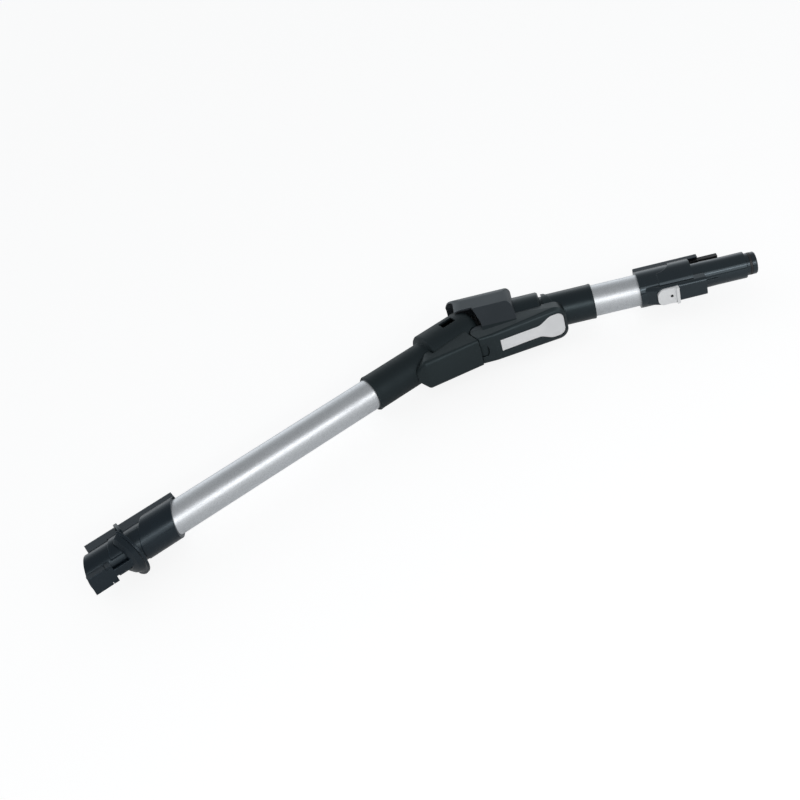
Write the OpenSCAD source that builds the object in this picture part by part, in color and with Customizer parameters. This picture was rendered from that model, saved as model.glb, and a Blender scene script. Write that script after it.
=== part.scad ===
// Bendable vacuum wand: two aluminium tubes joined by a lockable knee.
// It lies on its side. X runs along the lower tube, from the socket mouth to the knee.
// Y points to the back, the side that bends outward. Z points sideways, up from the floor.

/* [Tubes] */
// Outside diameter of both aluminium tubes
tube_d = 32; // [30:0.5:34]
// Wall of the tubes
tube_wall = 1.2; // [0.8:0.1:1.6]
// Mouth of the socket to the knee, along the lower tube
lower_len = 435; // [360:1:560]
// Knee to the tip of the spigot, along the upper tube
upper_len = 283; // [265:1:400]
// Radial play of a tube in its sleeve
tube_play = 0.15; // [0.05:0.05:0.3]

/* [Knee] */
// Bend of the wand as it lies
rest_bend = 32; // [28:1:33]
// Distance of the hinge pin in front of the tube axis
pivot_off = 28.5; // [28:0.5:30]
// Radius of the middle knuckle, which the lock bolt holds
tongue_r = 12.5; // [12:0.1:13]
// Radius of the outer knuckles round the hinge pin
knuckle_r = 9.3; // [8.5:0.1:9.5]
// Diameter of the hinge pin
pin_d = 6; // [4:0.5:7]
// Half of the width of the knuckles
knuckle_hw = 16; // [15:0.5:17]
// Half of the width of the middle knuckle
tongue_hw = 6.7; // [5.5:0.1:7.5]
// Outside radius of the lower barrel
barrel_r = 25; // [24.5:0.1:25.3]
// Outside radius of the upper barrel
upper_barrel_r = 22.3; // [21.5:0.1:22.6]
// Wall of the moulded shells
shell_wall = 2.2; // [1.8:0.1:2.4]
// Running gap between parts that move on each other
run_gap = 0.4; // [0.3:0.05:0.6]

/* [Hose] */
// Outside radius of the hose over its ribs
hose_r = 14.2; // [13:0.1:14.6]
// Depth of the folds of the hose
hose_fold = 1.8; // [1:0.1:2.4]
// Wall of the hose
hose_wall = 0.9; // [0.7:0.1:1.2]
// Number of ribs in the bend
hose_ribs = 4; // [3:1:6]

/* [Hood] */
// Half of the width of the hood
hood_hw = 28; // [27.9:0.1:29]
// Height of the hood behind the tube axis
hood_back = 31; // [30:0.5:33]
// Reach of the visor over the lower barrel
visor_len = 31; // [24:1:34]
// Corner radius of the hood's section
hood_round = 17; // [14:0.5:18]
// Corner radius of the visor, seen from the back
visor_round = 18; // [12:0.5:20]

/* [Ends] */
// Bore of the socket at the lower end
socket_bore_d = 27.6; // [27.4:0.1:28]
// Depth of the socket's bore
socket_depth = 52; // [48:1:56]
// Outside radius of the socket's nose
nose_r = 15.8; // [15.5:0.1:16.2]
// Slant of the mouth and of the cuff's ends
slant = 22; // [15:1:25]
// Outside radius of the cuffs
cuff_r = 18.9; // [18.5:0.1:19.5]
// Diameter of the spigot at the upper end
spigot_d = 26.8; // [26.4:0.1:27.2]
// Straight length of the spigot
spigot_len = 42; // [38:1:46]
// Half of the width of the back rails
rail_hw = 12.5; // [11:0.5:14]
// Height of the lower back rail over the tube axis
rail_back = 24; // [22:0.5:25]
// Height of the upper back rail over the tube axis
upper_rail_back = 23.2; // [22:0.1:24]

/* [Controls] */
// Length of the unlocking lever
lever_len = 68; // [64:1:70]
// Half of the width of the lever's strip
lever_hw = 6.5; // [5.5:0.1:7]
// Half of the width of the lever's pad
pad_hw = 13; // [11:0.5:13.5]
// Slope of the face that holds the lever
face_slope = 12.5; // [11.5:0.5:13]
// Half of the width of the release button
button_hw = 8.8; // [7:0.1:9]
// Length of the release button
button_len = 21; // [18:0.5:22]
// Travel of the release button
button_travel = 2.4; // [1.5:0.1:2.6]

/* [Hidden] */
$fn = 72;

black = [0.13, 0.15, 0.16];
black_soft = [0.20, 0.22, 0.24];
alu = [0.74, 0.76, 0.78];
silver = [0.85, 0.86, 0.88];
steel = [0.62, 0.64, 0.66];
brass = [0.80, 0.66, 0.35];
rubber = [0.08, 0.08, 0.09];

eps = 0.01;
tube_r = tube_d / 2;
sleeve_r = tube_r + tube_play;
duct_r = 13;
pin_r = pin_d / 2;
end_slant = 26;

// Places along the lower tube
flange_x = 38.5;
flange_t = 3;
flange_a = 27.5;
flange_b = 24.5;
plate_tilt = 19.3;
plate_x = 35.3;
plate_r = 28;
plate_t = 2.4;
cuff_slant = 29;
neck_r = 15.2;
hub_x = 25;
rail_x0 = 7.5;
rail_x1 = 98.5;
rail_foot = 8;
contact_x0 = 10;
contact_x1 = 26;
pedal_px = 14.5;
pedal_py = -18.1;
arm_y = -18.2;
hook_hw = 10;
cuff_x0 = 56;
cuff_x1 = 91;
tube_x0 = cuff_x0 + 10;
knee_x = lower_len;
collar_len = 65;
collar_r = 18.5;
barrel_x0 = knee_x - 51;
barrel_x1 = knee_x + 7;
collar_x0 = barrel_x0 - collar_len - 5.5;
tube_x1 = barrel_x0 - 2;
hose_grip = 12;
lower_cuff_x = knee_x - 41;
hose_end = 29;

// Places along the upper tube, from the foot of the hinge
ub_x0 = 13;
ub_x1 = 65;
uc_x0 = 68.5;
uc_x1 = 118.7;
ucollar_r = 17.9;
utube_x0 = 74;
ucuff_x0 = upper_len - 119;
tip_len = 11;
spigot_x0 = upper_len - tip_len - spigot_len;
ucuff_x1 = spigot_x0 - 12;
btn_x0 = upper_len - 103;
utube_x1 = ucuff_x0 + 30;
hood_x1 = 39;
pin_x0 = spigot_x0 + 13;
block_hw = 10.5;
block_len = 70;
hose_seat = 22.8;
tip_r = 11.2;
tongue_y = 20.4;

// The face that carries the lever, and its place
face_x = 18.5;
face_y = -39.2;
lever_t = 2.4;
pad_travel = 2;
lever_pivot_u = 32;
lever_pivot_h = 4.2;
pad_u = 45;
bolt_x1 = 26;
bolt_way = 31.6;
seal_t = 0.8;

// A cylinder along X from a to b
module along(a, b, r) {
  translate([a, 0, 0]) rotate([0, 90, 0]) cylinder(h = b - a, r = r);
}

// A pipe along X
module pipe(a, b, r, ri) {
  difference() {
    along(a, b, r);
    along(a - 1, b + 1, ri);
  }
}

// A body turned about X from a profile of [x, radius] points
module turned(pts) {
  rotate([0, 90, 0]) rotate([0, 0, 90]) rotate_extrude()
    polygon([for (p = pts) [p[1], p[0]]]);
}

// Moves what is drawn along the upper tube to its place at the rest bend
module upper() {
  translate([knee_x, -pivot_off, 0]) rotate([0, 0, -rest_bend]) translate([0, pivot_off, 0])
    children();
}

// Frame on the sloping face: X along the lever, -Y outward
module on_face() {
  upper() translate([face_x, face_y, 0]) rotate([0, 0, face_slope]) children();
}

// A cylinder across the wand, centred on the symmetry plane
module across(x, y, r, hw) {
  translate([x, y, -hw]) cylinder(h = 2 * hw, r = r);
}

// A box that reaches hw to both sides
module slab(x0, x1, y0, y1, hw) {
  translate([x0, y0, -hw]) cube([x1 - x0, y1 - y0, 2 * hw]);
}

// Thick slab on the left of a slanted plane through x0
module left_of(x0, angle = slant, size = 80) {
  translate([x0, 0, 0]) rotate([0, 0, -angle]) translate([-size, -size, -size])
    cube([size, 2 * size, 2 * size]);
}

// The same on the right of the plane
module right_of(x0, angle = slant, size = 80) {
  translate([x0, 0, 0]) rotate([0, 0, -angle]) translate([0, -size, -size])
    cube([size, 2 * size, 2 * size]);
}

// An ellipse as a polygon
module ellipse(a, b, steps = 96) {
  polygon([for (i = [0:steps - 1]) [a * cos(360 * i / steps), b * sin(360 * i / steps)]]);
}

// A rounded bar along X: half width hw, from y0 to y1, with round corners at y1
module rail_bar(x0, x1, y0, y1, hw, r) {
  translate([x0, 0, 0]) rotate([0, 90, 0]) linear_extrude(x1 - x0) {
    translate([-hw + r, y0]) square([2 * (hw - r), y1 - y0]);
    translate([-hw, y0]) square([2 * hw, y1 - r - y0]);
    for (s = [-1, 1]) translate([s * (hw - r), y1 - r]) circle(r, $fn = 40);
  }
}

// A coil spring along Y, from y = 0 to y = h, as a swept wire
module coil(r, wire, h, turns, steps = 14, sides = 6) {
  n = turns * steps;
  rings = [for (i = [0:n]) let (a = 360 * i / steps, y = wire / 2 + (h - wire) * i / n)
    [for (j = [0:sides - 1]) let (b = 360 * j / sides, q = r + wire / 2 * cos(b))
      [q * cos(a), y + wire / 2 * sin(b), q * sin(a)]]];
  pts = [for (g = rings) for (p = g) p];
  walls = [for (i = [0:n - 1]) for (j = [0:sides - 1])
    let (k = (j + 1) % sides) [i * sides + j, (i + 1) * sides + j, (i + 1) * sides + k, i * sides + k]];
  ends = [[for (j = [0:sides - 1]) j], [for (j = [sides - 1:-1:0]) n * sides + j]];
  polyhedron(pts, concat(walls, ends), convexity = 8);
}

// Cuff with slanted ends, on the lower tube
module slanted_cuff(grow) {
  difference() {
    along(cuff_x0 - 10, cuff_x1 + 12, cuff_r + grow);
    left_of(cuff_x0 + 2 - grow, cuff_slant);
    right_of(cuff_x1 + grow, end_slant);
  }
}

// Socket at the lower end, with its nose, oval flange, neck and slanted cuff
module head_socket() {
  bore_r = socket_bore_d / 2;
  color(black) difference() {
    union() {
      difference() {
        along(-10, flange_x + 2, nose_r);
        left_of(0);
      }
      // Raised hub panel in front of the flange
      difference() {
        along(10, plate_x + 1, nose_r + 1.1);
        left_of(hub_x);
        slab(0, 60, -60, -13.2, 60);
      }
      // Back half of the oval flange; the pedal's plate is its front half
      difference() {
        translate([flange_x, 0, 0]) rotate([0, 90, 0]) linear_extrude(flange_t)
          ellipse(flange_b, flange_a);
        slab(0, 80, -60, -1.8, 60);
      }
      // Neck and slanted cuff
      along(flange_x, cuff_x0 + 14, neck_r);
      slanted_cuff(0);
      // Step behind the pedal's plate
      difference() {
        along(flange_x, cuff_x0, neck_r + 3);
        left_of(plate_x + 3.2, -plate_tilt);
        slab(0, 80, -4, 60, 60);
      }
    }
    // The bore of the socket, the duct and the seat of the tube
    along(-30, socket_depth, bore_r);
    along(socket_depth - 1, tube_x0 + 1, duct_r - 0.5);
    along(tube_x0, cuff_x1 + 30, sleeve_r);
    // Groove of the seal
    turned([[43, bore_r - 1], [43, bore_r + 0.8], [46, bore_r + 0.8], [46, bore_r - 1]]);
    // Way of the back rail through the flange
    rail_bar(flange_x - 1, flange_x + flange_t + 1, 8, rail_back - 1.3, rail_hw - 1.4, 3);
    // Window of the pedal's hook
    slab(1.5, 7.5, -30, -10, 5.4);
  }
  // Ears that carry the pedal's pin
  color(black) for (s = [-1, 1]) difference() {
    translate([0, 0, s * (hook_hw - 1.1)]) slab(11.9, 17.2, -20, -10, 1.1);
    across(pedal_px, pedal_py, 1.05, hook_hw - 1.1);
    along(-30, 60, nose_r - 0.4);
  }
}

// Cover of the contacts along the back of the socket
module socket_rail() {
  color(black) difference() {
    union() {
      rail_bar(rail_x0, flange_x - 0.3, rail_foot, rail_back, rail_hw, 3);
      rail_bar(flange_x + flange_t + 0.3, rail_x1, rail_foot, rail_back, rail_hw, 3);
      rail_bar(flange_x - 1, flange_x + flange_t + 1, rail_foot, rail_back - 1.4, rail_hw - 1.5, 3);
    }
    along(-30, flange_x + 0.5, nose_r + 0.1);
    along(hub_x + 2, flange_x + 0.5, nose_r + 1.2);
    along(flange_x, cuff_x0 + 20, neck_r + 0.1);
    slanted_cuff(0.1);
    along(tube_x0 - 0.3, cuff_x1 + 40, sleeve_r + 0.3);
    slab(-20, contact_x1, 16.4, 20.4, 9.2);
  }
}

// Insulating block in the mouth of the rail
module socket_contact_block() {
  color(black_soft) difference() {
    slab(contact_x0, contact_x1 - 0.2, 16.6, 20.2, 9);
    for (z = [-5, 0, 5]) translate([contact_x0 - 1, 18.4, z]) rotate([0, 90, 0])
      cylinder(h = 8, r = 1.3, $fn = 24);
  }
}

// Three contact pins
module socket_contact_pins() {
  color(brass) for (z = [-5, 0, 5]) translate([contact_x0 + 1, 18.4, z]) rotate([0, 90, 0])
    cylinder(h = 6, r = 0.9, $fn = 24);
}

// Lip ring in the socket's bore
module socket_seal() {
  bore_r = socket_bore_d / 2;
  color(rubber) turned([[43.2, bore_r + 0.05], [43.2, bore_r + 0.7], [45.8, bore_r + 0.7], [45.8, bore_r + 0.05]]);
}

// Pedal that frees the floor head: hook block, narrow arm and rounded tab
module head_release_pedal() {
  color(black) difference() {
    union() {
      difference() {
        union() {
          slab(-6, 11.5, -20, -12.6, hook_hw);
          slab(11, 17.2, -20, -12.6, hook_hw - 2.6);
        }
        left_of(0.3);
        along(-20, 30, nose_r + 0.6);
      }
      slab(17, plate_x + 7, arm_y - 2, arm_y, 3.8);
      // Swept plate with a fairing on its left, which completes the flange round the front
      difference() {
        translate([plate_x, 0, 0]) rotate([0, 0, plate_tilt]) rotate([0, 90, 0]) {
          translate([0, 0, -plate_t / 2]) linear_extrude(plate_t) ellipse(plate_r, plate_r / cos(plate_tilt));
          rotate_extrude()
            polygon([[0, -8], [plate_r - 10.5, -8], [plate_r - 5.5, -5], [plate_r - 1.5, -0.5], [0, -0.5]]);
        }
        slab(-20, 90, -5, 60, 60);
        along(0, 80, nose_r + 2.3);
      }
      // Hook that reaches into its window
      slab(2.2, 6.4, -17, -14.2, 4.6);
    }
    across(pedal_px, pedal_py, 1.15, 20);
  }
}

module pedal_pin() {
  color(steel) across(pedal_px, pedal_py, 1, hook_hw - 1.3);
}

module pedal_spring() {
  color(steel) translate([30, arm_y + 0.05, 0]) coil(1.9, 0.5, -nose_r - arm_y - 0.1, 3, 12);
}

module lower_tube() {
  color(alu) pipe(tube_x0 + 0.3, tube_x1, tube_r, tube_r - tube_wall);
}

// Cable along the tube's back wall
module lower_cable() {
  color(rubber) translate([0, tube_r - tube_wall - 2.2, 0]) along(tube_x0 + 1, tube_x1 - 0.5, 2);
}

// Collar on the lower tube and the barrel of the knee
module lower_knee_housing() {
  w = shell_wall;
  color(black) difference() {
    turned([[collar_x0, 0], [collar_x0, collar_r - 0.4], [collar_x0 + 1.2, collar_r + 0.3],
            [collar_x0 + 5, collar_r], [barrel_x0 - 1, collar_r], [barrel_x0 + 1, barrel_r - 0.8],
            [barrel_x0 + 2.2, barrel_r], [barrel_x1 - 9, barrel_r],
            for (a = [0:15:75]) [barrel_x1 - 9 + 9 * sin(a), barrel_r - 5 * (1 - cos(a))],
            [barrel_x1, barrel_r - 4.2], [barrel_x1, 0]]);
    along(collar_x0 - 5, tube_x1 + 0.3, sleeve_r);
    along(tube_x1, lower_cuff_x + 1, duct_r);
    along(lower_cuff_x, barrel_x1 - 9, barrel_r - w);
    along(barrel_x1 - 9.5, barrel_x1 + 5, barrel_r - w - 3);
    // Way of the knuckles
    across(knee_x, -pivot_off, knuckle_r + 1, 60);
    slab(knee_x, knee_x + 20, -60, -pivot_off + knuckle_r + 1, 60);
    // Window on each side of the barrel
    for (s = [-1, 1]) translate([knee_x - 25.5, -4, s * barrel_r - 4]) cube([16, 9, 8]);
  }
}

// Front block of the lower half, with the middle knuckle
module lower_hinge_block() {
  x0 = knee_x - block_len;
  color(black) difference() {
    union() {
      // Side walls and front face, rounded along the edges
      hull() {
        for (s = [-1, 1]) {
          translate([x0 + 5, -22.8, s * 12]) sphere(4.5, $fn = 32);
          translate([knee_x - 14, -36.6, s * (knuckle_hw - 3)]) sphere(3, $fn = 32);
          translate([knee_x - 11.1, -37.4, s * (knuckle_hw - 3)]) rotate([0, 90, 0])
            cylinder(h = 0.4, r = 3, $fn = 32);
          translate([x0 + 14, -12, s * 12]) rotate([90, 0, 0]) cylinder(h = 2, r = 4, $fn = 32);
          translate([x0 - 2, -17, s * 4]) sphere(4, $fn = 32);
          translate([knee_x - 11.1, -16, s * (knuckle_hw + 1)]) rotate([90, 0, 0])
            cylinder(h = 2, r = 0.6, $fn = 32);
        }
      }
      // Middle knuckle and its neck
      across(knee_x, -pivot_off, tongue_r, tongue_hw);
      slab(knee_x - 12, knee_x, -pivot_off - 9, -pivot_off + 9, tongue_hw);
    }
    // Seat round the barrel and the collar
    along(x0 - 20, barrel_x0 + 2, collar_r + 0.1);
    along(barrel_x0 - 1.2, knee_x + 60, barrel_r + 0.1);
    // Way of the outer knuckles
    for (s = [-1, 1]) translate([knee_x, -pivot_off, s > 0 ? tongue_hw + eps : -tongue_hw - eps - 30])
      cylinder(h = 30, r = knuckle_r + run_gap);
    lower_screws(0.05);
    // Bore of the hinge pin and the notch of the lock bolt
    across(knee_x, -pivot_off, pin_r + 0.12, 60);
    slab(knee_x + tongue_r - 2.6, knee_x + 30, -pivot_off - 2.8, -pivot_off + 2.8, 3.6);
  }
}

// Screws that close the lower block, from the floor side; hole is the play round them
module lower_screws(hole = 0) {
  color(steel) for (x = [knee_x - 40, knee_x - 22]) screw(x, knuckle_hw - 3.2, hole);
}

// A pan head screw whose head faces the floor side
module screw(x, z, hole) {
  sink = hole > 0 ? 6 : 0;
  translate([x, -26.5, -z - 1.1]) {
    translate([0, 0, -sink]) cylinder(h = 1.2 + sink, r = 2.6 + hole, $fn = 32);
    cylinder(h = 9 + hole, r = 1.2 + hole, $fn = 24);
  }
}

// Ring that grips the hose in the lower barrel
module lower_hose_cuff() {
  color(black_soft) hose_cuff(lower_cuff_x, 1, barrel_r - shell_wall - 0.1);
}

// A flanged ring with a spigot on which the hose end sits; dir is 1 or -1 along X
module hose_cuff(x, dir, r) {
  translate([x, 0, 0]) mirror([dir > 0 ? 0 : 1, 0, 0]) difference() {
    union() {
      along(0.1, 3, r);
      along(2, 3 + hose_grip, hose_r - hose_fold - hose_wall - 0.1);
    }
    along(-1, 4 + hose_grip, hose_r - hose_fold - hose_wall - 1.6);
  }
}

// Corrugated hose through the knee, bent about the hinge pin
module flex_hose() {
  color(rubber) {
    translate([knee_x - hose_end - 8.8, 0, 0]) straight_hose(hose_end + 8.7);
    upper() translate([0.1, 0, 0]) straight_hose(ub_x0 + 9.7);
    // The bend: one smooth arc about the hinge pin with ribs on it
    bend_ring(0.2, rest_bend - 0.2, hose_r - hose_fold, hose_r - hose_fold - hose_wall);
    for (i = [0:hose_ribs]) {
      mid = rest_bend * i / hose_ribs;
      bend_ring(mid - 1.7, mid + 1.7, hose_r, hose_r - hose_fold - hose_wall + 0.3);
    }
  }
}

// Part of a pipe bent about the hinge pin, between two angles from the lower tube's end
module bend_ring(a0, a1, r, ri) {
  translate([knee_x, -pivot_off, 0]) rotate([0, 0, 90 - a1])
    rotate_extrude(angle = a1 - a0, $fn = 144) translate([pivot_off, 0]) difference() {
      circle(r, $fn = 48);
      circle(ri, $fn = 48);
    }
}

// A straight stretch of the hose with ribs
module straight_hose(len) {
  inner = hose_r - hose_fold;
  pitch = 3.9;
  n = floor(len / pitch);
  turned([[0, inner - hose_wall], [0, inner],
          for (i = [0:n - 1]) for (q = [[0.9, 0], [1.5, hose_fold], [2.9, hose_fold], [3.5, 0]])
            [i * pitch + q[0], inner + q[1]],
          [len, inner], [len, inner - hose_wall]]);
}

// Cable that crosses the knee behind the hose, with a bead where it meets the bend
module knee_cable() {
  r = 1.6;
  off = hose_r + r + 0.6;
  color(rubber) {
    translate([0, off, 0]) along(lower_cuff_x + 3, knee_x - 0.1, r);
    upper() translate([0, off, 0]) along(0.1, ub_x0 + 19.8, r);
    translate([0, off, 0]) along(knee_x - 0.9, knee_x + 0.9, r + 0.3);
    upper() translate([0, off, 0]) along(-0.9, 0.9, r + 0.3);
    translate([knee_x, -pivot_off, 0]) rotate([0, 0, 90 - rest_bend + 0.2])
      rotate_extrude(angle = rest_bend - 0.4, $fn = 96) translate([pivot_off + off, 0])
      circle(r, $fn = 24);
  }
}

module hinge_pin() {
  color(steel) across(knee_x, -pivot_off, pin_r, knuckle_hw - 2.1);
}

module upper_hose_cuff() {
  color(black_soft) upper() hose_cuff(ub_x0 + hose_seat, -1, upper_barrel_r - shell_wall - 0.1);
}

// Barrel and collar on the upper tube
module upper_knee_housing() {
  w = shell_wall;
  color(black) upper() difference() {
    turned([[ub_x0, 0], [ub_x0, upper_barrel_r], [ub_x1 - 1.6, upper_barrel_r], [ub_x1, upper_barrel_r - 1.2],
            [ub_x1 + 0.6, ucollar_r - 1.2], [uc_x0 + 0.6, ucollar_r - 1.2], [uc_x0 + 1.6, ucollar_r],
            [uc_x1 - 4, ucollar_r], [uc_x1 - 1, ucollar_r + 0.3], [uc_x1, ucollar_r - 0.4], [uc_x1, 0]]);
    along(ub_x0 - 5, ub_x0 + hose_seat + 0.2, upper_barrel_r - w);
    along(ub_x0 + 20, utube_x0 + 1, duct_r);
    along(utube_x0, uc_x1 + 5, sleeve_r);
    // The front of the barrel's mouth is cut back round the knuckles
    translate([0, -pivot_off, 0]) across(0, 0, knuckle_r + 1.4, 60);
  }
}

// Outline of the lever, seen from the front, as a plan to extrude; grow widens it
module lever_plan(grow) {
  w = lever_hw + grow;
  p = pad_hw + grow;
  r = 7 + grow;
  flare = [for (t = [0:0.125:1]) [pad_u - 6 + 17 * t, w + (p - w) * (1 - cos(180 * t)) / 2]];
  polygon([[-grow, -w], for (q = flare) [q[0], -q[1]], [lever_len - r + grow, -p],
           [lever_len - r + grow, p], for (i = [len(flare) - 1:-1:0]) flare[i], [-grow, w]]);
  translate([lever_len - 9 + grow, -p + r]) square([9, 2 * (p - r)]);
  for (s = [-1, 1]) translate([lever_len - r + grow, s * (p - r)]) circle(r, $fn = 48);
}

// The lever's plan as a plate between two depths behind the face
module lever_plate(d0, d1, grow) {
  translate([0, d1, 0]) rotate([90, 0, 0]) linear_extrude(d1 - d0) lever_plan(grow);
}

// Section of the hood: round back, straight cheeks that close toward the front block
module hood_section(shrink) {
  r = hood_round - shrink;
  w = hood_hw - shrink;
  k = knuckle_hw - 0.5 - shrink;
  for (s = [-1, 1]) translate([s * (w - r), hood_back - shrink - r]) circle(r, $fn = 96);
  translate([r - w, 0]) square([2 * (w - r), hood_back - shrink]);
  polygon([[-w, hood_back - shrink - r], [-w, -4], [-k, -32], [k, -32], [w, -4], [w, hood_back - shrink - r]]);
}

// How far the section reaches from the tube axis, at an angle from the back
function hood_reach(angle) =
  (hood_back - hood_round) * cos(angle) + (hood_hw - hood_round) * sin(angle) + hood_round;

// The section drawn out along X from a to b
module hood_form(a, b, shrink) {
  translate([a, 0, 0]) rotate([0, 90, 0]) linear_extrude(b - a) hood_section(shrink);
}

// A rectangle from [x0, y0] to [x1, y1] with corner radii ra on the left and rb on the right
module soft_rect(x0, x1, y0, y1, ra, rb) {
  translate([x0 + ra, y0]) square([x1 - rb - x0 - ra, y1 - y0]);
  translate([x0, y0 + ra]) square([ra + 1, y1 - y0 - 2 * ra]);
  translate([x1 - rb - 1, y0 + rb]) square([rb + 1, y1 - y0 - 2 * rb]);
  for (y = [y0 + ra, y1 - ra]) translate([x0 + ra, y]) circle(ra, $fn = 96);
  for (y = [y0 + rb, y1 - rb]) translate([x1 - rb, y]) circle(rb, $fn = 96);
}

// Side view of the hood with rounded ends, for a view turned by an angle about the axis
module hood_profile(angle) {
  rotate([angle, 0, 0]) translate([0, 0, -60]) linear_extrude(120)
    soft_rect(-visor_len, hood_x1, -70, hood_reach(abs(angle)), 5, 6);
}

// Hood over the knee and the front block that holds the lever
module upper_knee_cover() {
  w = shell_wall;
  color(black_soft) upper() difference() {
    union() {
      // Hood shell
      difference() {
        intersection() {
          hood_form(-visor_len, hood_x1, 0);
          // Rounded ends, first seen from the back, then from the sides and between
          translate([0, 80, 0]) rotate([90, 0, 0]) linear_extrude(160)
            soft_rect(-visor_len, hood_x1, -hood_hw, hood_hw, visor_round, 8);
          hood_profile(-56);
          hood_profile(-28);
          hood_profile(0);
          hood_profile(28);
          hood_profile(56);
        }
        hood_form(-visor_len - 5, hood_x1 - 6, w);
        // The front of the hood is open to the left, below the visor
        translate([0, -1.5, -60]) linear_extrude(120)
          polygon([[-80, 0], [-3.2, 0], [3.6, -19.5], [3.6, -60], [-80, -60]]);
      }
      // Front block, from the knuckles to the end of the pad
      hull() {
        for (s = [-1, 1]) {
          translate([-1.9, -pivot_off - 11.2, s * (knuckle_hw - 2.4)]) sphere(2.4, $fn = 32);
          translate([0, -pivot_off, s * (knuckle_hw - 0.6)]) cylinder(h = 0.6, r = knuckle_r, $fn = 64);
          translate([12, -pivot_off - 9.4, s * (knuckle_hw - 2.8)]) sphere(3.4, $fn = 32);
          translate([76, -22.5, s * 7.5]) rotate([90, 0, 0]) cylinder(h = 1, r = 12, $fn = 48);
          translate([75.5, -25.1, s * 7.5]) rotate([90, 0, 0]) cylinder(h = 1, r = 9.6, $fn = 48);
          translate([76, -11, s * 6]) rotate([90, 0, 0]) cylinder(h = 1, r = 12, $fn = 48);
          translate([20, -11, s * 14]) rotate([90, 0, 0]) cylinder(h = 1, r = 3, $fn = 32);
        }
      }
      across(0, -pivot_off, knuckle_r, knuckle_hw);
      // Saddle that sweeps up round the collar
      difference() {
        along(uc_x0 - 0.4, uc_x0 + 15, ucollar_r + 1.2);
        right_of(uc_x0 + 6, -22);
        slab(0, 200, 12.5, 60, 60);
      }
    }
    // Room for the barrel and the collar
    along(ub_x0 - 30, ub_x1 + 0.8, upper_barrel_r + 0.1);
    along(ub_x1, uc_x1 + 20, ucollar_r + 0.1);
    // Room for the lower barrel's end, down to the knuckles
    difference() {
      hood_form(-80, 9, w - 0.1);
      across(0, -pivot_off, knuckle_r, 60);
      slab(-90, 30, -60, -pivot_off + 2, 60);
    }
    // Slot of the middle knuckle
    across(0, -pivot_off, tongue_r + run_gap, tongue_hw + run_gap);
    slab(-30, 0, -80, -pivot_off + tongue_r, tongue_hw + run_gap);
    intersection() {
      slab(-1, 6, -80, -pivot_off, tongue_hw + run_gap);
      translate([-6, -pivot_off, 0]) rotate([90, 0, 0]) cylinder(h = 60, r = 12);
    }
    screw_pair(0.05);
    // Bore of the hinge pin
    across(0, -pivot_off, pin_r + 0.02, knuckle_hw - 2);
    // Recess of the lever, its well under the pad and the way of the lock bolt
    translate([face_x, face_y, 0]) rotate([0, 0, face_slope]) {
      lever_plate(-12, lever_t + 0.5, 0.45);
      intersection() {
        lever_plate(0, lever_t + pad_travel + 0.5, 0.45);
        slab(lever_pivot_u + 3, lever_len + 5, 0, 20, 20);
      }
      slab(-0.2, 9, 0, 9.4, 4.4);
      slab(lever_pivot_u - 3.4, lever_pivot_u + 3.4, 0, lever_t + 4.6, 5.2);
      across(lever_pivot_u, lever_pivot_h, 1.02, 9);
    }
    slab(tongue_r, bolt_way, -pivot_off - 2.7, -pivot_off + 2.7, 3.5);
  }
}

module screw_pair(hole) {
  for (x = [24, 40]) screw(x, knuckle_hw - 2.2, hole);
}

module upper_screws() {
  color(steel) upper() screw_pair(0);
}

// Silver rocking lever with its hub, and the finger that draws the bolt
module push_lever() {
  color(silver) on_face() difference() {
    union() {
      lever_plate(-0.4, lever_t, 0);
      slab(lever_pivot_u - 2.6, lever_pivot_u + 2.6, lever_t - 0.2, lever_pivot_h, 4.6);
      across(lever_pivot_u, lever_pivot_h, 2.6, 4.6);
      slab(3.6, 6.4, lever_t - 0.2, 6.2, 3);
    }
    across(lever_pivot_u, lever_pivot_h, 1.12, 9);
  }
}

module lever_pin() {
  color(steel) on_face() across(lever_pivot_u, lever_pivot_h, 1, 8.8);
}

module lever_spring() {
  color(steel) on_face() translate([lever_len - 16, lever_t + 0.02, 0])
    coil(3.2, 0.6, pad_travel + 0.46, 3);
}

// Bolt that holds the middle knuckle when the wand is straight
module lock_bolt() {
  color(steel) upper() slab(tongue_r + 0.7, bolt_x1, -pivot_off - 2.4, -pivot_off + 2.4, 3.2);
}

module bolt_spring() {
  color(steel) upper() translate([bolt_x1 + 0.05, -pivot_off, 0]) rotate([0, 0, -90])
    coil(1.9, 0.5, bolt_way - bolt_x1 - 0.1, 4, 12);
}

module upper_tube() {
  color(alu) upper() pipe(utube_x0 + 0.3, utube_x1 - 0.3, tube_r, tube_r - tube_wall);
}

module upper_cable() {
  color(rubber) upper() translate([0, tube_r - tube_wall - 2.2, 0]) along(utube_x0 + 1, utube_x1 - 1, 2);
}

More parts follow.
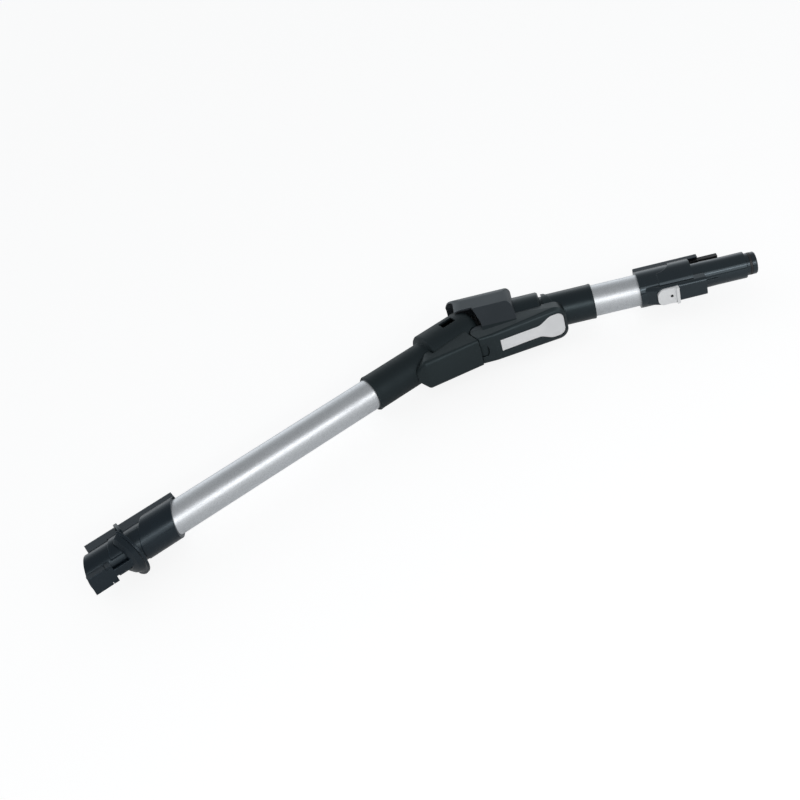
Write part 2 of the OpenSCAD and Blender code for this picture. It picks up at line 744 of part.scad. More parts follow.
// Cuff on the upper tube, the button's block and the spigot
module handle_spigot() {
  spigot_r = spigot_d / 2;
  color(black) upper() difference() {
    union() {
      along(ucuff_x0 + 0.6, ucuff_x1, cuff_r - 0.3);
      // Block that holds the button
      hull() for (s = [-1, 1]) {
        translate([btn_x0 - 8, -14, s * (block_hw - 4)]) sphere(4, $fn = 32);
        translate([btn_x0 + 3, -18.6, s * (block_hw - 4)]) sphere(4, $fn = 32);
        translate([spigot_x0 - 1.4, -18.4, s * (block_hw - 4.4)]) rotate([0, 90, 0])
          cylinder(h = 0.6, r = 4, $fn = 32);
        translate([btn_x0 - 8, -12, s * (block_hw - 3)]) rotate([0, 90, 0]) cylinder(h = 0.6, r = 3, $fn = 32);
        translate([spigot_x0 - 1.4, -12, s * (block_hw - 3.4)]) rotate([0, 90, 0])
          cylinder(h = 0.6, r = 3, $fn = 32);
      }
      // Raised band whose left edge sweeps round the button
      difference() {
        along(btn_x0 + 4, ucuff_x1, cuff_r + 0.7);
        across(btn_x0 + 4, 8, 14, 60);
        slab(0, btn_x0 + 18, 8, 60, 60);
      }
      // Neck that narrows to the spigot's sealing length, with the key rib
      turned([[ucuff_x1 - 1, 0], [ucuff_x1 - 1, spigot_r + 0.35], [spigot_x0, spigot_r + 0.35],
              [pin_x0, spigot_r], [pin_x0, 0]]);
      slab(spigot_x0 - 1, pin_x0 - 1, -spigot_r - 1.6, -spigot_r + 3, 2.4);
      along(pin_x0 - 0.1, spigot_x0 + spigot_len, spigot_r);
      turned([[spigot_x0 + spigot_len - 0.5, 0], [spigot_x0 + spigot_len - 0.5, spigot_r - 0.8],
              [spigot_x0 + spigot_len, spigot_r - 0.8], [spigot_x0 + spigot_len + 0.8, tip_r],
              [upper_len - 1, tip_r], [upper_len, tip_r - 0.8], [upper_len, 0]]);
    }
    along(ucuff_x0 - 5, utube_x1, sleeve_r);
    along(utube_x1 - 1, spigot_x0 - 4, duct_r - 1.2);
    along(spigot_x0 - 5, upper_len + 5, tip_r - 1.4);
    // Groove of the seal ring
    difference() {
      along(upper_len - 7.2, upper_len - 4.8, tip_r + 2);
      along(upper_len - 8, upper_len - 4, tip_r - seal_t);
    }
    // Well of the button
    translate([0, -17.6, 0]) rotate([90, 0, 0]) linear_extrude(40) button_plan(0.4);
    translate([btn_x0 + button_len / 2, -16, 0]) rotate([90, 0, 0]) cylinder(h = 3, r = 3.6, $fn = 32);
  }
}

module spigot_rail() {
  color(black) upper() difference() {
    rail_bar(ucuff_x0 + 0.6, spigot_x0, rail_foot, upper_rail_back, rail_hw, 3);
    along(0, upper_len + 100, cuff_r - 0.2);
    along(btn_x0 + 17.9, upper_len + 100, cuff_r + 0.8);
    // Rounded corner over the cuff's end
    translate([ucuff_x0 + 0.6, upper_rail_back - 5, 0]) difference() {
      slab(-1, 4.6, 0, 6, 60);
      across(5, 0, 5.05, 70);
    }
    slab(ucuff_x1 - 4, spigot_x0 + 5, 8, tongue_y + 0.2, 9.2);
  }
}

// Tongue of the contacts behind the spigot
module spigot_contact_block() {
  color(black_soft) upper() difference() {
    rail_bar(ucuff_x1, spigot_x0 + 20, 14.6, tongue_y, 8.8, 1.2);
    for (z = [-5, 0, 5]) translate([spigot_x0 + 10, 17, z]) rotate([0, 90, 0])
      cylinder(h = 20, r = 1.3, $fn = 24);
  }
}

module spigot_contact_pins() {
  color(brass) upper() for (z = [-5, 0, 5]) translate([spigot_x0 + 10, 17, z]) rotate([0, 90, 0])
    cylinder(h = 8, r = 1.1, $fn = 24);
}

module spigot_seal() {
  color(rubber) upper() pipe(upper_len - 7.1, upper_len - 4.9, tip_r + 0.1, tip_r - seal_t + 0.1);
}

// Outline of the button, rounded on the left; grow widens it
module button_plan(grow) {
  r = 6.5 + grow;
  w = button_hw + grow;
  x0 = btn_x0 - grow;
  translate([x0 + r, -w]) square([button_len + 2 * grow - r, 2 * w]);
  translate([x0, -w + r]) square([r + 1, 2 * (w - r)]);
  for (s = [-1, 1]) translate([x0 + r, s * (w - r)]) circle(r, $fn = 48);
}

// Silver button, pressed toward the tube
module release_button() {
  color(silver) upper() difference() {
    union() {
      translate([0, -17.7 - button_travel, 0]) rotate([90, 0, 0]) linear_extrude(6.7 - button_travel)
        button_plan(0);
      translate([btn_x0 + button_len / 2, -17 - button_travel, 0]) rotate([90, 0, 0])
        cylinder(h = 2, r = 1.6, $fn = 32);
      // Raised end that stops the thumb
      slab(btn_x0 + button_len - 2.8, btn_x0 + button_len + 0.15, -26.4, -21, button_hw + 0.2);
    }
    // Dished top with a rounded thumb edge
    difference() {
      translate([btn_x0 + button_len / 2 - 1, -24.4 - 36, -20]) cylinder(h = 40, r = 36.7, $fn = 180);
      slab(btn_x0 + button_len - 2.8, btn_x0 + button_len + 5, -40, 0, 30);
    }
    // Small dimple by the raised end
    translate([btn_x0 + button_len - 7, -23.4, 0]) rotate([90, 0, 0]) cylinder(h = 4, r = 1.1, $fn = 24);
  }
}

module button_spring() {
  color(steel) upper() translate([btn_x0 + button_len / 2, -17.65 - button_travel, 0])
    coil(2.6, 0.5, 3.9, 4);
}

head_socket();
socket_rail();
socket_contact_block();
socket_contact_pins();
socket_seal();
head_release_pedal();
pedal_pin();
pedal_spring();
lower_tube();
lower_cable();
lower_knee_housing();
lower_hinge_block();
lower_screws();
lower_hose_cuff();
flex_hose();
knee_cable();
hinge_pin();
upper_hose_cuff();
upper_knee_housing();
upper_knee_cover();
upper_screws();
push_lever();
lever_pin();
lever_spring();
lock_bolt();
bolt_spring();
upper_tube();
upper_cable();
handle_spigot();
spigot_rail();
spigot_contact_block();
spigot_contact_pins();
spigot_seal();
release_button();
button_spring();
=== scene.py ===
# Bendable vacuum wand: looks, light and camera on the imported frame. Lengths are in metres.
import math
import bmesh
import bpy
from mathutils import Matrix, Vector


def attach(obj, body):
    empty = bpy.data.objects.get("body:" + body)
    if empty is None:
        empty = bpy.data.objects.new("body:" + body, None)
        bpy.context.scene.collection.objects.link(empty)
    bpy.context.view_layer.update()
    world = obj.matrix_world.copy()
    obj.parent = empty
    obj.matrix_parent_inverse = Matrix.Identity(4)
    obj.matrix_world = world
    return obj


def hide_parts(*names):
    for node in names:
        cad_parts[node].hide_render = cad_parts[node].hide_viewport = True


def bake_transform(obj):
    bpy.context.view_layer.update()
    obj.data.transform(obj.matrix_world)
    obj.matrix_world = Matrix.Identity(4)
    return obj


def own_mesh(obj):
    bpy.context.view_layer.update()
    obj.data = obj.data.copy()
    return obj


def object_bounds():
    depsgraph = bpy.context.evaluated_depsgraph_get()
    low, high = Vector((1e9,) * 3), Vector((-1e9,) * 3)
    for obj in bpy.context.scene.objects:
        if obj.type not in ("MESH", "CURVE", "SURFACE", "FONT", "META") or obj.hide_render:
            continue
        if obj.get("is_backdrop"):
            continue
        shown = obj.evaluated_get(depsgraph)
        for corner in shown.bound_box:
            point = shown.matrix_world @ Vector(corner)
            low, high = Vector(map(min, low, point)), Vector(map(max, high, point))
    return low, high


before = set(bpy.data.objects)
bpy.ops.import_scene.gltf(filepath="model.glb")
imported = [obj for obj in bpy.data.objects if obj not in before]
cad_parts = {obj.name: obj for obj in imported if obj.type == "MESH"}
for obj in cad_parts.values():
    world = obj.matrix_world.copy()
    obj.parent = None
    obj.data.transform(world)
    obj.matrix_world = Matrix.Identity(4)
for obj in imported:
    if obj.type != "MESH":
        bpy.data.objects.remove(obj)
cad_low, cad_high = (list(map(float, v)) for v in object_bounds())

# Places of the knee, as in the part's source: the hinge, the bend at rest and the lever's sloped face
KNEE_X = 0.435
PIVOT_OFF = 0.0285
BEND = math.radians(32)
PIVOT = Vector((KNEE_X, -PIVOT_OFF, 0))
UX = Vector((math.cos(BEND), -math.sin(BEND), 0))
UY = Vector((math.sin(BEND), math.cos(BEND), 0))
SLOPE = math.radians(12.5)
FACE_ORIGIN = (18.5, -39.2)

# The hood on its moulding, measured from the hinge along and across the upper tube: its end, its lower
# line, how soft both are, and half the width of the painted shadow line along it, where the hood sits over the block
HOOD_END = 0.0392
HOOD_LINE = PIVOT_OFF - 0.0255
LINE_BLUR = 0.0001
SHADE_LINE_HALF = 0.0003

# The studio: the plain background's brightness and the shares of it that the camera and the metal see,
# the light of the room and of its wall, and the gap that keeps the floor off the part's flat underside
FLOOR_GLOW = 1.17
FLOOR_SHARE = 0.72
MIRRORED = 0.10
ROOM_GLOW = 0.31
WALL_GLOW = 1.00
FLOOR_HALF = 6.0
FLOOR_GAP = 0.00005

UP_Z = Vector((0, 0, 1))


def upper(x, y, z=0.0):
    """A point of the upper tube's frame, given in millimetres, in the row frame."""
    return PIVOT + UX * (x / 1000) + UY * (y / 1000 + PIVOT_OFF) + Vector((0, 0, z / 1000))


def on_face(u, h, z=0.0):
    """A point of the lever's face: u along it, h behind it, in millimetres."""
    x = FACE_ORIGIN[0] + u * math.cos(SLOPE) - h * math.sin(SLOPE)
    y = FACE_ORIGIN[1] + u * math.sin(SLOPE) + h * math.cos(SLOPE)
    return upper(x, y, z)


# ---------------------------------------------------------------- camera
def make_camera():
    """The photograph's view: its axes, place and lens were fitted to the outline of the wand."""
    data = bpy.data.cameras.new("camera")
    data.sensor_width = 36
    data.lens = 48.193
    data.clip_start = 0.01
    cam = bpy.data.objects.new("camera", data)
    bpy.context.scene.collection.objects.link(cam)
    right = Vector((0.79492645, -0.55370479, -0.24799789))
    up = Vector((0.51362846, 0.39661906, 0.76084107))
    back = Vector((-0.32292065, -0.73219146, 0.59968151))
    turn = Matrix((right, up, back)).transposed().to_4x4()
    cam.matrix_world = Matrix.Translation((-0.010185, -0.797916, 0.626724)) @ turn
    bpy.context.scene.camera = cam


# ---------------------------------------------------------------- materials
class Nodes:
    """A short way to write a node tree."""

    def __init__(self, tree):
        self.tree = tree

    def new(self, kind, **values):
        node = self.tree.nodes.new(kind)
        for key, value in values.items():
            if key in node.inputs:
                node.inputs[key].default_value = value
            else:
                setattr(node, key, value)
        return node

    def link(self, a, b):
        self.tree.links.new(a, b)

    def coords(self, scale=(1, 1, 1), turn=0.0):
        place = self.new("ShaderNodeTexCoord")
        mapping = self.new("ShaderNodeMapping")
        mapping.inputs["Rotation"].default_value = (0, 0, turn)
        mapping.inputs["Scale"].default_value = scale
        self.link(place.outputs["Object"], mapping.inputs["Vector"])
        return mapping.outputs["Vector"]

    def noise(self, vector, scale, detail, rough=0.5):
        node = self.new("ShaderNodeTexNoise", Scale=scale, Detail=detail, Roughness=rough)
        self.link(vector, node.inputs["Vector"])
        return node.outputs["Fac"]

    def ramp(self, value, low, high, a=0.3, b=0.7):
        node = self.new("ShaderNodeValToRGB")
        node.color_ramp.elements[0].position = a
        node.color_ramp.elements[1].position = b
        node.color_ramp.elements[0].color = low
        node.color_ramp.elements[1].color = high
        self.link(value, node.inputs["Fac"])
        return node.outputs["Color"]

    def spread(self, value, low, high, a=0.3, b=0.7):
        node = self.new("ShaderNodeMapRange")
        for key, number in (("From Min", a), ("From Max", b), ("To Min", low), ("To Max", high)):
            node.inputs[key].default_value = number
        self.link(value, node.inputs["Value"])
        return node.outputs["Result"]

    def times(self, a, b):
        node = self.new("ShaderNodeMath", operation="MULTIPLY")
        self.link(a, node.inputs[0])
        self.link(b, node.inputs[1])
        return node.outputs[0]

    def rounded(self, radius):
        """The normal with its edges rounded."""
        return self.new("ShaderNodeBevel", samples=6, Radius=radius).outputs["Normal"]

    def on_edge(self, rounded):
        """How much a point lies on an edge, by how far its rounded normal has turned."""
        dot = self.new("ShaderNodeVectorMath", operation="DOT_PRODUCT")
        self.link(rounded, dot.inputs[0])
        self.link(self.new("ShaderNodeNewGeometry").outputs["Normal"], dot.inputs[1])
        return self.spread(dot.outputs["Value"], 1.0, 0.0, 0.75, 0.995)


class Surface(Nodes):
    """The nodes of a new material."""

    def __init__(self, name):
        self.mat = bpy.data.materials.new(name)
        self.mat.use_nodes = True
        super().__init__(self.mat.node_tree)
        self.bsdf = self.tree.nodes["Principled BSDF"]

    def bump(self, strength, distance, height, normal=None):
        node = self.new("ShaderNodeBump", Strength=strength, Distance=distance)
        self.link(height, node.inputs["Height"])
        if normal is not None:
            self.link(normal, node.inputs["Normal"])
        self.link(node.outputs["Normal"], self.bsdf.inputs["Normal"])


def scaled(colour, factor, lift=0.0):
    """A colour made lighter or darker, with alpha."""
    return tuple(min(1, c * factor + lift) for c in colour) + (1,)


def blend_colour(n, factor, low, high):
    """low where factor is 0 and high where it is 1; each is a colour or a socket."""
    node = n.new("ShaderNodeMix", data_type="RGBA")
    colour = [s for s in node.inputs if s.type == "RGBA"]
    n.link(factor, node.inputs[0])
    for socket, value in zip(colour, (low, high)):
        if isinstance(value, tuple):
            socket.default_value = value
        else:
            n.link(value, socket)
    return [s for s in node.outputs if s.type == "RGBA"][0]


def hood_region(n):
    """1 on the hood and 0 on the front block of the same moulding, and, in a second mask, 1 on the line between them,
    where a shadow is painted.
    """
    place = n.new("ShaderNodeTexCoord").outputs["Object"]
    reach = []
    for axis in (UX, UY):
        offset = n.new("ShaderNodeVectorMath", operation="SUBTRACT")
        n.link(place, offset.inputs[0])
        offset.inputs[1].default_value = PIVOT
        dot = n.new("ShaderNodeVectorMath", operation="DOT_PRODUCT")
        n.link(offset.outputs["Vector"], dot.inputs[0])
        dot.inputs[1].default_value = axis
        reach.append(dot.outputs["Value"])
    along, across = reach
    inside = n.times(n.spread(along, 1, 0, HOOD_END - LINE_BLUR, HOOD_END + LINE_BLUR),
                     n.spread(across, 0, 1, HOOD_LINE - LINE_BLUR, HOOD_LINE + LINE_BLUR))
    # painted shade: a narrow band along the hood's lower line stands in for the shadow in the gap where the hood sits
    # over the block
    shade_line = n.times(n.spread(across, 0, 1, HOOD_LINE - SHADE_LINE_HALF, HOOD_LINE),
                   n.spread(across, 1, 0, HOOD_LINE, HOOD_LINE + SHADE_LINE_HALF))
    return inside, shade_line


def plastic(name, colour, rough, grain=0.12, edge=2.6, radius=0.0007, specular=0.5, tint=(1, 1, 1), other=None):
    """Moulded plastic: faint cloudiness, an etched grain, and edges made lighter by the factor edge over radius,
    partly as rubbed wear and partly as a painted highlight on the rims. other is the colour of the front block where
    the piece is the hood's moulding, with a painted shadow line between them."""
    n = Surface(name)
    vector = n.coords()
    cloud = n.noise(vector, scale=22, detail=4)

    def clouded(c):
        return n.ramp(cloud, scaled(c, 0.88), scaled(c, 1.14))

    base = clouded(colour)
    if other:
        inside, shade_line = hood_region(n)
        base = blend_colour(n, inside, clouded(other), base)
        # painted shade: the line between hood and front block is darkened to near black
        base = blend_colour(n, shade_line, base, SHADE_LINE_COLOUR)
    normal = n.rounded(radius)
    # painted highlight: the rims are lightened in noisy patches, partly as rubbed wear and partly in place of the
    # bright lines that light draws along edges
    edge_patches = n.spread(n.noise(vector, scale=160, detail=6, rough=0.7), 0.0, 1.0, 0.42, 0.62)
    worn_and_highlit_edge = blend_colour(n, n.times(n.on_edge(normal), edge_patches), base, scaled(colour, edge, lift=0.004))
    n.link(worn_and_highlit_edge, n.bsdf.inputs["Base Color"])
    gloss = n.noise(vector, scale=45, detail=5, rough=0.6)
    n.link(n.spread(gloss, rough - 0.05, rough + 0.06), n.bsdf.inputs["Roughness"])
    n.bump(grain, 0.00012, n.noise(vector, scale=2600, detail=2), normal)
    n.bsdf.inputs["Specular IOR Level"].default_value = specular
    n.bsdf.inputs["Specular Tint"].default_value = tint + (1,)
    return n.mat


def metal(name, colour, rough, turn=0.0, stretch=(80, 80, 80), speckle=0.0):
    """Drawn or brushed metal: streaks along one direction, and the fine speckle of a satin finish."""
    n = Surface(name)
    streak = n.noise(n.coords(stretch, turn), scale=5, detail=4, rough=0.6)
    base = n.ramp(streak, scaled(colour, 0.90), scaled(colour, 1.05))
    if speckle:
        spots = n.spread(n.noise(n.coords(), scale=900, detail=2, rough=0.6), 0, 1, 0.42, 0.62)
        base = blend_colour(n, spots, base, scaled(colour, 1 - speckle))
    n.link(base, n.bsdf.inputs["Base Color"])
    gloss = n.noise(n.coords(), scale=30, detail=3)
    n.link(n.spread(gloss, rough - 0.03, rough + 0.05), n.bsdf.inputs["Roughness"])
    n.bump(0.10, 0.00004, streak, n.rounded(0.0003))
    n.bsdf.inputs["Metallic"].default_value = 1.0
    return n.mat


def soft_rubber(name, colour, rough):
    """Dull rubber with a little dust."""
    n = Surface(name)
    vector = n.coords()
    dust = n.noise(vector, scale=300, detail=5, rough=0.65)
    dusty = n.ramp(dust, scaled(colour, 1), scaled(colour, 1.8, lift=0.01), 0.45, 0.75)
    n.link(dusty, n.bsdf.inputs["Base Color"])
    n.link(n.spread(dust, rough - 0.08, rough + 0.1), n.bsdf.inputs["Roughness"])
    n.bump(0.2, 0.0001, n.noise(vector, scale=1800, detail=3))
    return n.mat


# Tints of the plastics' highlights, the painted shadow line beside the hood, and the satin aluminium and its streaks
COOL = (0.74, 0.93, 1.0)
BLUISH = (0.75, 0.90, 1.0)
SHADE_LINE_COLOUR = (0.002, 0.002, 0.002, 1)
ALUMINIUM = (0.745, 0.766, 0.79)
DRAWN = (6, 400, 400)

BLACK = plastic("black_shell", (0.0048, 0.0090, 0.0136), 0.25, edge=7.0, radius=0.0009, tint=BLUISH)
BLACK_SATIN = plastic("black_satin", (0.0060, 0.0092, 0.0118), 0.30, edge=4.5, radius=0.0008, tint=COOL)
BLACK_MATT = plastic("black_matt", (0.0072, 0.0110, 0.0130), 0.56, edge=4.0, radius=0.0008, specular=0.4, tint=COOL)
BLACK_BLOCK = plastic("black_block", (0.0082, 0.0124, 0.0138), 0.45, grain=0.18, edge=3.4, tint=COOL)
BLACK_GLOSS = plastic("black_gloss", (0.0046, 0.0082, 0.0106), 0.13, grain=0.04, specular=0.8, tint=BLUISH)
GREY = plastic("grey_shell", (0.031, 0.034, 0.040), 0.38, grain=0.15, specular=0.6, tint=COOL,
               other=(0.0044, 0.0074, 0.0088))
INNER = plastic("inner_plastic", (0.008, 0.009, 0.010), 0.5)
SILVER = plastic("silver_plastic", (0.95, 0.955, 0.965), 0.40, grain=0.05, edge=0.9, radius=0.0006,
                specular=0.9)
ALU_LOWER = metal("tube_lower", ALUMINIUM, 0.39, stretch=DRAWN, speckle=0.16)
ALU_UPPER = metal("tube_upper", ALUMINIUM, 0.39, turn=BEND, stretch=DRAWN, speckle=0.16)
STEEL = metal("steel", (0.52, 0.53, 0.55), 0.32)
BRASS = metal("contact", (0.72, 0.56, 0.28), 0.25)
HOSE = soft_rubber("hose", (0.020, 0.021, 0.023), 0.5)
CABLE = soft_rubber("cable", (0.016, 0.016, 0.018), 0.55)
SEAL = soft_rubber("seal", (0.012, 0.012, 0.013), 0.45)

LOOKS = {
    "head_socket": BLACK, "socket_rail": BLACK, "socket_contact_block": INNER, "socket_contact_pins": BRASS,
    "socket_seal": SEAL, "head_release_pedal": BLACK, "pedal_pin": STEEL, "pedal_spring": STEEL,
    "lower_tube": ALU_LOWER, "lower_cable": CABLE, "lower_knee_housing": BLACK_MATT, "lower_hinge_block": BLACK_BLOCK,
    "lower_screws": STEEL, "lower_hose_cuff": INNER, "flex_hose": HOSE, "knee_cable": CABLE, "hinge_pin": STEEL,
    "upper_hose_cuff": INNER, "upper_knee_housing": BLACK_SATIN, "upper_knee_cover": GREY, "upper_screws": STEEL,
    "push_lever": SILVER, "lever_pin": STEEL, "lever_spring": STEEL, "lock_bolt": STEEL, "bolt_spring": STEEL,
    "upper_tube": ALU_UPPER, "upper_cable": CABLE, "handle_spigot": BLACK_GLOSS, "spigot_rail": BLACK,
    "spigot_contact_block": INNER, "spigot_contact_pins": BRASS, "spigot_seal": SEAL,
    "release_button": SILVER, "button_spring": STEEL,
}


def dress_nodes():
    for name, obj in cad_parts.items():
        for slot in obj.material_slots:
            slot.material = LOOKS[name]


# ---------------------------------------------------------------- mesh helpers
def pairs(count):
    """Each number with the next one round a ring."""
    return [(k, (k + 1) % count) for k in range(count)]


def bridge(bm, low, high):
    """Faces between two rings, and the edges of the second."""
    for k, j in pairs(len(low)):
        bm.faces.new((low[k], low[j], high[j], high[k]))
    return [bm.edges.get((high[k], high[j])) for k, j in pairs(len(low))]


def circle(bm, centre, side, other, size, sides):
    """A ring of points round a centre, in the plane of side and other."""
    angles = (2 * math.pi * k / sides for k in range(sides))
    return [bm.verts.new(centre + (side * math.cos(t) + other * math.sin(t)) * size) for t in angles]


def add_mesh(name, bm, material, body=None, smooth=True):
    """A finished piece of the scene, riding on a body if one is given."""
    bmesh.ops.recalc_face_normals(bm, faces=bm.faces)
    mesh = bpy.data.meshes.new(name)
    bm.to_mesh(mesh)
    bm.free()
    for face in mesh.polygons:
        face.use_smooth = smooth
    obj = bpy.data.objects.new(name, mesh)
    bpy.context.scene.collection.objects.link(obj)
    mesh.materials.append(material)
    if body:
        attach(obj, body)
    return obj


def sweep(name, path, radius, material, sides, inner=None):
    """A round piece along a path of points; radius gives the size at each point, inner a bore."""
    bm = bmesh.new()
    rings = []
    side = None
    for i, p in enumerate(path):
        a, b = path[max(i - 1, 0)], path[min(i + 1, len(path) - 1)]
        along = (b - a).normalized()
        if side is None:
            side = along.orthogonal().normalized()
        side = (side - along * side.dot(along)).normalized()
        rings.append(circle(bm, p, side, along.cross(side), radius(i), sides))
    if inner is not None:
        for i in range(len(path) - 1, -1, -1):
            centre = path[i]
            rings.append([bm.verts.new(centre + (v.co - centre).normalized() * inner(i)) for v in rings[i]])
    for low, high in zip(rings, rings[1:]):
        bridge(bm, low, high)
    if inner is None:
        bm.faces.new(rings[0])
        bm.faces.new(rings[-1])
    else:
        bridge(bm, rings[-1], rings[0])
    return add_mesh(name, bm, material)


def knee_path(offset, start, end, step):
    """Points at a distance behind the tube axis, from the lower half through the bend to the upper one."""
    points = []
    count = max(2, int(round((KNEE_X - start) / step)))
    points += [Vector((start + (KNEE_X - start) * i / count, offset, 0)) for i in range(count)]
    reach = PIVOT_OFF + offset
    count = max(8, int(round(reach * BEND / step)))
    for i in range(count + 1):
        a = BEND * i / count
        points.append(PIVOT + Vector((math.sin(a), math.cos(a), 0)) * reach)
    count = max(2, int(round(end / step)))
    points += [upper(1000 * end * i / count, 1000 * offset) for i in range(1, count + 1)]
    return points


def lathe(name, centre, axis, profile, material, body, sides=40):
    """A turned piece from (height, radius) points along an axis."""
    side = axis.orthogonal().normalized()
    other = axis.cross(side)
    bm = bmesh.new()
    rings = [circle(bm, centre + axis * height, side, other, size, sides) for height, size in profile]
    for low, high in zip(rings, rings[1:]):
        bridge(bm, low, high)
    bm.faces.new(rings[0])
    bm.faces.new(rings[-1])
    return add_mesh(name, bm, material, body)


def coil_spring(name, node, centre, axis, radius, wire, height, turns, body):
    """A coil of round wire in place of the node's part, its turns rising from centre along axis, riding on a body."""
    points_a_turn = 28
    other = axis.cross(UP_Z)
    steps = turns * points_a_turn
    path = []
    for i in range(steps + 1):
        a = 2 * math.pi * turns * i / steps
        rise = wire / 2 + (height - wire) * i / steps
        path.append(centre + axis * rise + (UP_Z * math.cos(a) + other * math.sin(a)) * radius)
    spring = sweep(name, path, lambda i: wire / 2, STEEL, sides=10)
    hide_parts(node)
    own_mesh(spring)
    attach(spring, body)


# ---------------------------------------------------------------- pieces
def make_hose():
    """The corrugated hose, from the ring in the lower barrel through the bend to the upper ring."""
    wall = 0.0009
    fold = 0.0016
    crest = 0.0142
    pitch = 0.0032
    path = knee_path(offset=0, start=KNEE_X - 0.0378, end=0.0228, step=0.0004)
    length = [0.0]
    for a, b in zip(path, path[1:]):
        length.append(length[-1] + (b - a).length)

    def outer(i):
        wave = 0.5 - 0.5 * math.cos(2 * math.pi * length[i] / pitch)
        return crest - fold * (1 - wave ** 0.7)

    hose = sweep("hose_corrugated", path, outer, HOSE, sides=48, inner=lambda i: outer(i) - wall)
    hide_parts("flex_hose")
    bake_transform(hose)


def make_cable():
    """The cord of the contacts, bent with the knee."""
    radius = 0.0016
    path = knee_path(offset=0.0164, start=KNEE_X - 0.038, end=0.0328, step=0.0012)
    cable = sweep("cable_across_knee", path, lambda i: radius, CABLE, sides=20)
    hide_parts("knee_cable")
    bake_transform(cable)


def make_springs():
    """The four coils: seat and axis, then radius, wire, height and turns."""
    normal = (on_face(0, 1) - on_face(0, 0)).normalized()
    coil_spring("coil_under_pad", "lever_spring", on_face(52, 2.42), normal,
                0.0032, 0.0006, 0.0024, 3, "upper")
    coil_spring("coil_behind_bolt", "bolt_spring", upper(26.05, -28.5), UX,
                0.0019, 0.0005, 0.0055, 4, "upper")
    coil_spring("coil_under_button", "button_spring", upper(190.5, -20.05), UY,
                0.0026, 0.0005, 0.0038, 4, "upper")
    coil_spring("coil_under_pedal", "pedal_spring", Vector((0.030, -0.01815, 0)), Vector((0, 1, 0)),
                0.0019, 0.0005, 0.0023, 3, "lower")


def cross(bm, base, arm, half, turn):
    """The outline of a cross at a turn: arm from its middle to an end, half the width of an arm."""
    corners = [(half, half), (arm, half), (arm, -half), (half, -half), (half, -arm), (-half, -arm),
               (-half, -half), (-arm, -half), (-arm, half), (-half, half), (-half, arm), (half, arm)]
    spin = Matrix.Rotation(turn, 3, "Z")
    return [bm.verts.new(base + spin @ Vector((x, y, 0))) for x, y in corners]


def screw(bm, base, turn):
    """A pan head screw with a cross recess: its head lies at base and faces down, its shank goes up.
    The profile gives height over base and radius, from the shank's tip to the head's flat."""
    depth = 0.0007
    profile = [(0.0090, 0.0012), (0.0012, 0.0012), (0.0012, 0.0026), (0.0005, 0.0026),
               (0.0002, 0.00245), (0.00005, 0.0022), (0.0, 0.0019)]
    side, other = Vector((1, 0, 0)), Vector((0, 1, 0))
    rings = [circle(bm, base + UP_Z * height, side, other, size, sides=32) for height, size in profile]
    bm.faces.new(rings[0])
    for low, high in zip(rings, rings[1:]):
        rim = bridge(bm, low, high)
    recess = cross(bm, base + UP_Z * depth, arm=0.0010, half=0.00030, turn=turn)
    bm.faces.new(recess)
    mouth = bridge(bm, recess, cross(bm, base, arm=0.0015, half=0.00042, turn=turn))
    bmesh.ops.triangle_fill(bm, use_beauty=True, use_dissolve=False, edges=rim + mouth, normal=(0, 0, -1))


def make_screws():
    """The two screws of the lower half and the two of the upper one, seen from below."""
    lower_places = [Vector((KNEE_X + x, -0.0265, -0.0139)) for x in (-0.040, -0.022)]
    upper_places = [upper(x, -26.5, -14.9) for x in (24, 40)]
    for node, body, places in (("lower_screws", "lower", lower_places), ("upper_screws", "upper", upper_places)):
        bm = bmesh.new()
        for base, turn in zip(places, (0.4, 1.1)):
            screw(bm, base, turn)
        screws = add_mesh("cross_" + node, bm, STEEL, body, smooth=False)
        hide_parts(node)


def make_button_dot():
    """Dark plug in the dimple of the release button, from height over the dimple's floor and radius."""
    profile = [(-0.00005, 0.00100), (0.00056, 0.00100), (0.00057, 0.00150), (0.00064, 0.00157), (0.00071, 0.00150),
               (0.00076, 0.00110), (0.00078, 0.00050)]
    dimple = upper(194, -23.4)
    dot = lathe("dot_in_button", dimple, -UY, profile, INNER, "button")


# ---------------------------------------------------------------- floor, world and light
def background_share(n, camera):
    """How much of the plain background a ray sees: one from the camera, and one off metal or through glass."""
    path = n.new("ShaderNodeLightPath")
    total = None
    for key, weight in (("Is Camera Ray", camera), ("Is Glossy Ray", MIRRORED), ("Is Transmission Ray", MIRRORED)):
        part = n.new("ShaderNodeMath", operation="MULTIPLY_ADD")
        part.inputs[1].default_value = weight
        part.inputs[2].default_value = 0
        n.link(path.outputs[key], part.inputs[0])
        if total is not None:
            n.link(total, part.inputs[2])
        total = part.outputs[0]
    return total


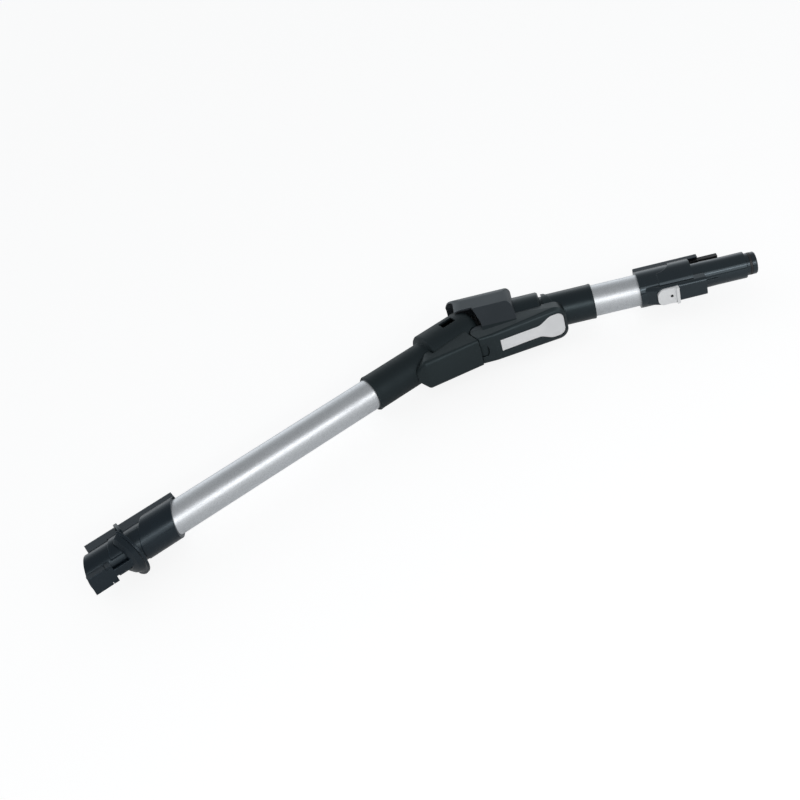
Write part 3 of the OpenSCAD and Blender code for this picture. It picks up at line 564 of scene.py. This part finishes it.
def make_floor():
    """A pale floor: near white to the camera, and dimmer where the wand mirrors it."""
    mesh = bpy.data.meshes.new("floor")
    z = cad_low[2] - FLOOR_GAP
    corners = [(x * FLOOR_HALF, y * FLOOR_HALF, z) for x, y in ((-1, -1), (1, -1), (1, 1), (-1, 1))]
    mesh.from_pydata(corners, [], [(0, 1, 2, 3)])
    floor = bpy.data.objects.new("floor", mesh)
    bpy.context.scene.collection.objects.link(floor)
    n = Surface("floor")
    n.bsdf.inputs["Base Color"].default_value = (0.95, 0.95, 0.95, 1)
    n.bsdf.inputs["Roughness"].default_value = 0.9
    n.bsdf.inputs["Specular IOR Level"].default_value = 0.1
    glow = n.new("ShaderNodeEmission", Strength=FLOOR_GLOW)
    mixer = n.new("ShaderNodeMixShader")
    n.link(background_share(n, FLOOR_SHARE), mixer.inputs[0])
    n.link(n.bsdf.outputs[0], mixer.inputs[1])
    n.link(glow.outputs[0], mixer.inputs[2])
    n.link(mixer.outputs[0], n.tree.nodes["Material Output"].inputs[0])
    mesh.materials.append(n.mat)
    floor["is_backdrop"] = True


def make_world():
    """White to the camera; for the light, a dim room with a bright wall low behind the wand.
    Metal sees the room and a share of the white."""
    world = bpy.data.worlds.new("studio")
    bpy.context.scene.world = world
    world.use_nodes = True
    n = Nodes(world.node_tree)
    n.tree.nodes.clear()
    axes = n.new("ShaderNodeSeparateXYZ")
    n.link(n.new("ShaderNodeTexCoord").outputs["Generated"], axes.inputs[0])
    wall = n.times(n.spread(axes.outputs["Y"], 0, 1, 0.1, 0.7), n.spread(axes.outputs["Z"], 0, 1, 0.85, 0.2))
    glow = n.new("ShaderNodeMath", operation="MULTIPLY_ADD")
    n.link(wall, glow.inputs[0])
    glow.inputs[1].default_value = WALL_GLOW
    glow.inputs[2].default_value = ROOM_GLOW
    room = n.new("ShaderNodeBackground", Color=(0.93, 0.97, 1.0, 1))
    n.link(glow.outputs[0], room.inputs["Strength"])
    white = n.new("ShaderNodeBackground", Color=(1, 1, 1, 1), Strength=1.0)
    pick = n.new("ShaderNodeMixShader")
    n.link(background_share(n, 1), pick.inputs[0])
    n.link(room.outputs[0], pick.inputs[1])
    n.link(white.outputs[0], pick.inputs[2])
    n.link(pick.outputs[0], n.new("ShaderNodeOutputWorld").inputs[0])


def area_light(name, place, target, size, power):
    data = bpy.data.lights.new(name, "AREA")
    data.shape = "RECTANGLE"
    data.size, data.size_y = size
    data.energy = power
    obj = bpy.data.objects.new(name, data)
    bpy.context.scene.collection.objects.link(obj)
    obj.location = place
    obj.rotation_mode = "QUATERNION"
    obj.rotation_quaternion = (Vector(target) - Vector(place)).to_track_quat("-Z", "Y")


def make_lights():
    """A soft box and a narrow strip before the wand, for the long highlights of the tubes."""
    middle = (0.37, -0.05, 0)
    area_light("soft_box", (0.25, -1.20, 0.58), middle, (1.7, 0.80), 4.8)
    area_light("strip", (0.22, -1.05, 0.58), middle, (1.6, 0.09), 1.7)


bpy.context.scene.view_settings.view_transform = "Standard"
make_camera()
make_floor()
make_world()
make_lights()
dress_nodes()
make_hose()
make_cable()
make_springs()
make_screws()
make_button_dot()
